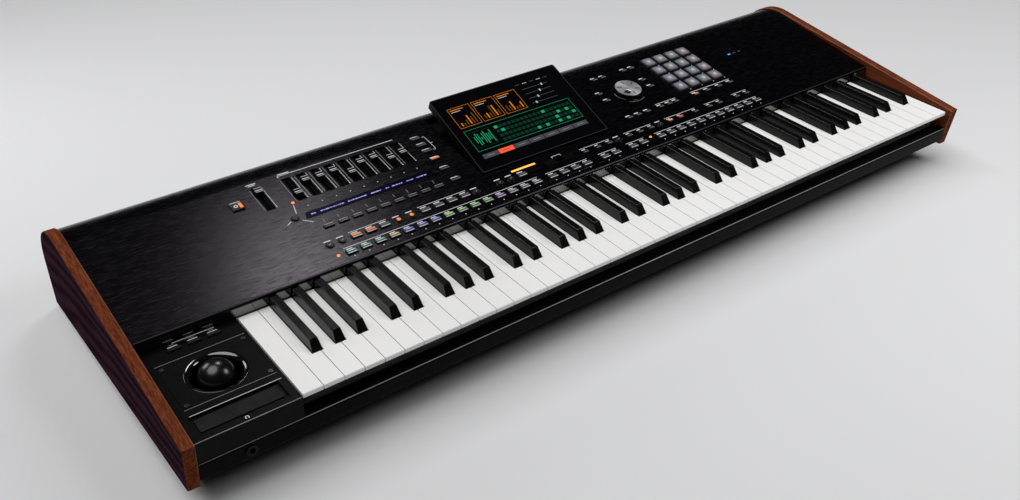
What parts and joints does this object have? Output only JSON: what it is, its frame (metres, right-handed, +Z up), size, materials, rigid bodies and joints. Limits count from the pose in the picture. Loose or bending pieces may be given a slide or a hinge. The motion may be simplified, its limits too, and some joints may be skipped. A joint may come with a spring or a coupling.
{
  "type": "arranger keyboard",
  "caption": "Long electronic keyboard with wooden ends, level keys, a sloped control panel with faders, pads, a dial and a tilting display, and a joystick block at the left.",
  "frame": {"origin": "on the floor, under the middle of the case", "axes": "+X along the keys towards the high notes, +Y to the back, +Z up"},
  "size_m": [1.202, 0.416, 0.1635],
  "materials": {
    "block_switches": "dark grey",
    "bottom_case": "satin black powder coat on aluminium sheet",
    "contact_board": "green board",
    "control_block": "satin black",
    "data_sockets": "matte black",
    "dial_buttons": "satin dark grey",
    "dial_encoder": "plain",
    "display_glass": "gloss black glass",
    "display_housing": "satin black",
    "display_tray": "matte black",
    "drum_pads": "satin silver grey",
    "fader_bodies": "matte black",
    "fader_cap_1": "satin black",
    "fader_cap_2": "satin black",
    "fader_cap_3": "satin black",
    "fader_cap_4": "satin black",
    "fader_cap_5": "satin black",
    "fader_cap_6": "satin black",
    "fader_cap_7": "satin black",
    "fader_cap_8": "satin black",
    "fader_cap_9": "satin black",
    "fader_cap_single": "satin black",
    "front_rail": "satin black powder coat on aluminium sheet",
    "front_row_buttons": "satin dark grey",
    "jack_sockets": "black moulded bush and nut",
    "joystick": "gloss black",
    "joystick_gimbal": "black nylon",
    "joystick_plate": "satin black plate with a glossy dish",
    "key_felts": "red felt",
    "key_frame": "grey moulded, glass filled",
    "key_pivot_rod": "ground steel",
    "keys_a": "warm white, satin gloss",
    "keys_a_sharp": "satin black",
    "keys_b": "warm white, satin gloss",
    "keys_c": "warm white, satin gloss",
    "keys_c_sharp": "satin black",
    "keys_d": "warm white, satin gloss",
    "keys_d_sharp": "satin black",
    "keys_e": "warm white, satin gloss",
    "keys_f": "warm white, satin gloss",
    "keys_f_sharp": "satin black",
    "keys_g": "warm white, satin gloss",
    "keys_g_sharp": "satin black",
    "main_board": "green board",
    "mains_inlet": "matte black",
    "mixer_buttons": "satin dark grey",
    "panel_board": "green board",
    "power_rocker": "gloss black",
    "power_supply": "plain sheet",
    "rear_panel": "satin black powder coat on aluminium sheet",
    "rubber_feet": "matte black",
    "screws": "black zinc",
    "second_row_buttons": "satin dark grey",
    "side_panel_left": "oiled reddish brown wood, dark face",
    "side_panel_right": "oiled reddish brown wood, dark face",
    "strip_display": "gloss black window",
    "top_panel": "brushed aluminium, anodised black",
    "touch_strip": "matte black",
    "value_dial": "turned, fine rings"
  },
  "bodies": {
    "case": {"bottom_case": "bottom_case", "contact_board": "contact_board", "control_block": "control_block", "data_sockets": "data_sockets", "dial_encoder": "dial_encoder", "display_tray": "display_tray", "fader_bodies": "fader_bodies", "front_rail": "front_rail", "jack_sockets": "jack_sockets", "joystick_plate": "joystick_plate", "key_felts": "key_felts", "key_frame": "key_frame", "key_pivot_rod": "key_pivot_rod", "main_board": "main_board", "mains_inlet": "mains_inlet", "panel_board": "panel_board", "power_supply": "power_supply", "rear_panel": "rear_panel", "rubber_feet": "rubber_feet", "screws": "screws", "side_panel_left": "side_panel_left", "side_panel_right": "side_panel_right", "strip_display": "strip_display", "top_panel": "top_panel", "touch_strip": "touch_strip"},
    "display": {"display_housing": "display_housing", "display_glass": "display_glass"},
    "dial": {"value_dial": "value_dial"},
    "gimbal": {"joystick_gimbal": "joystick_gimbal"},
    "stick": {"joystick": "joystick"},
    "pads": {"drum_pads": "drum_pads"},
    "block_switches": {"block_switches": "block_switches"},
    "power_rocker": {"power_rocker": "power_rocker"},
    "fader_cap_single": {"fader_cap_single": "fader_cap_single"},
    "fader_cap_1": {"fader_cap_1": "fader_cap_1"},
    "fader_cap_2": {"fader_cap_2": "fader_cap_2"},
    "fader_cap_3": {"fader_cap_3": "fader_cap_3"},
    "fader_cap_4": {"fader_cap_4": "fader_cap_4"},
    "fader_cap_5": {"fader_cap_5": "fader_cap_5"},
    "fader_cap_6": {"fader_cap_6": "fader_cap_6"},
    "fader_cap_7": {"fader_cap_7": "fader_cap_7"},
    "fader_cap_8": {"fader_cap_8": "fader_cap_8"},
    "fader_cap_9": {"fader_cap_9": "fader_cap_9"},
    "keys_e": {"keys_e": "keys_e"},
    "keys_f": {"keys_f": "keys_f"},
    "keys_f_sharp": {"keys_f_sharp": "keys_f_sharp"},
    "keys_g": {"keys_g": "keys_g"},
    "keys_g_sharp": {"keys_g_sharp": "keys_g_sharp"},
    "keys_a": {"keys_a": "keys_a"},
    "keys_a_sharp": {"keys_a_sharp": "keys_a_sharp"},
    "keys_b": {"keys_b": "keys_b"},
    "keys_c": {"keys_c": "keys_c"},
    "keys_c_sharp": {"keys_c_sharp": "keys_c_sharp"},
    "keys_d": {"keys_d": "keys_d"},
    "keys_d_sharp": {"keys_d_sharp": "keys_d_sharp"},
    "front_row_buttons": {"front_row_buttons": "front_row_buttons"},
    "second_row_buttons": {"second_row_buttons": "second_row_buttons"},
    "mixer_buttons": {"mixer_buttons": "mixer_buttons"},
    "dial_buttons": {"dial_buttons": "dial_buttons"}
  },
  "joints": [
    {"name": "display_tilt", "type": "hinge", "parent": "case", "child": "display", "pos_m": [-0.0018, 0.01839, 0.10986], "axis": [1, 0, 0], "range_deg": [-12.4, 22.6]},
    {"name": "dial_turn", "type": "hinge", "parent": "case", "child": "dial", "pos_m": [0.1906, 0.06898, 0.12342], "axis": [0, -0.1581, 0.9874], "continuous": true},
    {"name": "gimbal_tilt", "type": "hinge", "parent": "case", "child": "gimbal", "pos_m": [-0.5275, -0.119, 0.06], "axis": [1, 0, 0], "range_deg": [-12, 12], "stiffness_Nm_per_rad": 0.5},
    {"name": "stick_tilt", "type": "hinge", "parent": "gimbal", "child": "stick", "pos_m": [-0.5275, -0.119, 0.06], "axis": [0, 1, 0], "range_deg": [-12, 12], "stiffness_Nm_per_rad": 0.5},
    {"name": "fader_single_slide", "type": "slide", "parent": "case", "child": "fader_cap_single", "axis": [0, 0.9874, 0.1581], "range_m": [-0.02924, 0.00476]},
    {"name": "fader_1_slide", "type": "slide", "parent": "case", "child": "fader_cap_1", "axis": [0, 0.9874, 0.1581], "range_m": [-0.00578, 0.02822]},
    {"name": "fader_2_slide", "type": "slide", "parent": "case", "child": "fader_cap_2", "axis": [0, 0.9874, 0.1581], "range_m": [-0.0238, 0.0102]},
    {"name": "fader_3_slide", "type": "slide", "parent": "case", "child": "fader_cap_3", "axis": [0, 0.9874, 0.1581], "range_m": [-0.02244, 0.01156]},
    {"name": "fader_4_slide", "type": "slide", "parent": "case", "child": "fader_cap_4", "axis": [0, 0.9874, 0.1581], "range_m": [-0.02414, 0.00986]},
    {"name": "fader_5_slide", "type": "slide", "parent": "case", "child": "fader_cap_5", "axis": [0, 0.9874, 0.1581], "range_m": [-0.01088, 0.02312]},
    {"name": "fader_6_slide", "type": "slide", "parent": "case", "child": "fader_cap_6", "axis": [0, 0.9874, 0.1581], "range_m": [-0.02312, 0.01088]},
    {"name": "fader_7_slide", "type": "slide", "parent": "case", "child": "fader_cap_7", "axis": [0, 0.9874, 0.1581], "range_m": [-0.02414, 0.00986]},
    {"name": "fader_8_slide", "type": "slide", "parent": "case", "child": "fader_cap_8", "axis": [0, 0.9874, 0.1581], "range_m": [-0.01292, 0.02108]},
    {"name": "fader_9_slide", "type": "slide", "parent": "case", "child": "fader_cap_9", "axis": [0, 0.9874, 0.1581], "range_m": [-0.01632, 0.01768]},
    {"name": "keys_e_press", "type": "hinge", "parent": "case", "child": "keys_e", "pos_m": [0, 0.005, 0.08], "axis": [1, 0, 0], "range_deg": [0, 2.8], "stiffness_Nm_per_rad": 8, "springref_deg": -8.59},
    {"name": "keys_f_press", "type": "hinge", "parent": "case", "child": "keys_f", "pos_m": [0, 0.005, 0.08], "axis": [1, 0, 0], "range_deg": [0, 2.8], "stiffness_Nm_per_rad": 8, "springref_deg": -8.59},
    {"name": "keys_f_sharp_press", "type": "hinge", "parent": "case", "child": "keys_f_sharp", "pos_m": [0, 0.005, 0.08], "axis": [1, 0, 0], "range_deg": [0, 2.8], "stiffness_Nm_per_rad": 8, "springref_deg": -8.59},
    {"name": "keys_g_press", "type": "hinge", "parent": "case", "child": "keys_g", "pos_m": [0, 0.005, 0.08], "axis": [1, 0, 0], "range_deg": [0, 2.8], "stiffness_Nm_per_rad": 8, "springref_deg": -8.59},
    {"name": "keys_g_sharp_press", "type": "hinge", "parent": "case", "child": "keys_g_sharp", "pos_m": [0, 0.005, 0.08], "axis": [1, 0, 0], "range_deg": [0, 2.8], "stiffness_Nm_per_rad": 8, "springref_deg": -8.59},
    {"name": "keys_a_press", "type": "hinge", "parent": "case", "child": "keys_a", "pos_m": [0, 0.005, 0.08], "axis": [1, 0, 0], "range_deg": [0, 2.8], "stiffness_Nm_per_rad": 8, "springref_deg": -8.59},
    {"name": "keys_a_sharp_press", "type": "hinge", "parent": "case", "child": "keys_a_sharp", "pos_m": [0, 0.005, 0.08], "axis": [1, 0, 0], "range_deg": [0, 2.8], "stiffness_Nm_per_rad": 8, "springref_deg": -8.59},
    {"name": "keys_b_press", "type": "hinge", "parent": "case", "child": "keys_b", "pos_m": [0, 0.005, 0.08], "axis": [1, 0, 0], "range_deg": [0, 2.8], "stiffness_Nm_per_rad": 8, "springref_deg": -8.59},
    {"name": "keys_c_press", "type": "hinge", "parent": "case", "child": "keys_c", "pos_m": [0, 0.005, 0.08], "axis": [1, 0, 0], "range_deg": [0, 2.8], "stiffness_Nm_per_rad": 8, "springref_deg": -8.59},
    {"name": "keys_c_sharp_press", "type": "hinge", "parent": "case", "child": "keys_c_sharp", "pos_m": [0, 0.005, 0.08], "axis": [1, 0, 0], "range_deg": [0, 2.8], "stiffness_Nm_per_rad": 8, "springref_deg": -8.59},
    {"name": "keys_d_press", "type": "hinge", "parent": "case", "child": "keys_d", "pos_m": [0, 0.005, 0.08], "axis": [1, 0, 0], "range_deg": [0, 2.8], "stiffness_Nm_per_rad": 8, "springref_deg": -8.59},
    {"name": "keys_d_sharp_press", "type": "hinge", "parent": "case", "child": "keys_d_sharp", "pos_m": [0, 0.005, 0.08], "axis": [1, 0, 0], "range_deg": [0, 2.8], "stiffness_Nm_per_rad": 8, "springref_deg": -8.59},
    {"name": "pads_press", "type": "slide", "parent": "case", "child": "pads", "axis": [0, 0.1581, -0.9874], "range_m": [0, 0.0012], "stiffness_N_per_m": 2500, "springref_m": -0.001},
    {"name": "front_row_buttons_press", "type": "slide", "parent": "case", "child": "front_row_buttons", "axis": [0, 0.1581, -0.9874], "range_m": [0, 0.0008], "stiffness_N_per_m": 1200, "springref_m": -0.001},
    {"name": "second_row_buttons_press", "type": "slide", "parent": "case", "child": "second_row_buttons", "axis": [0, 0.1581, -0.9874], "range_m": [0, 0.0008], "stiffness_N_per_m": 1200, "springref_m": -0.001},
    {"name": "mixer_buttons_press", "type": "slide", "parent": "case", "child": "mixer_buttons", "axis": [0, 0.1581, -0.9874], "range_m": [0, 0.0008], "stiffness_N_per_m": 1200, "springref_m": -0.001},
    {"name": "dial_buttons_press", "type": "slide", "parent": "case", "child": "dial_buttons", "axis": [0, 0.1581, -0.9874], "range_m": [0, 0.0008], "stiffness_N_per_m": 1200, "springref_m": -0.001},
    {"name": "block_switches_press", "type": "slide", "parent": "case", "child": "block_switches", "axis": [0, 0, -1], "range_m": [0, 0.0008], "stiffness_N_per_m": 800, "springref_m": -0.001},
    {"name": "power_rocker_turn", "type": "hinge", "parent": "case", "child": "power_rocker", "pos_m": [-0.45, 0.1975, 0.046], "axis": [1, 0, 0], "range_deg": [0, 16]}
  ]
}
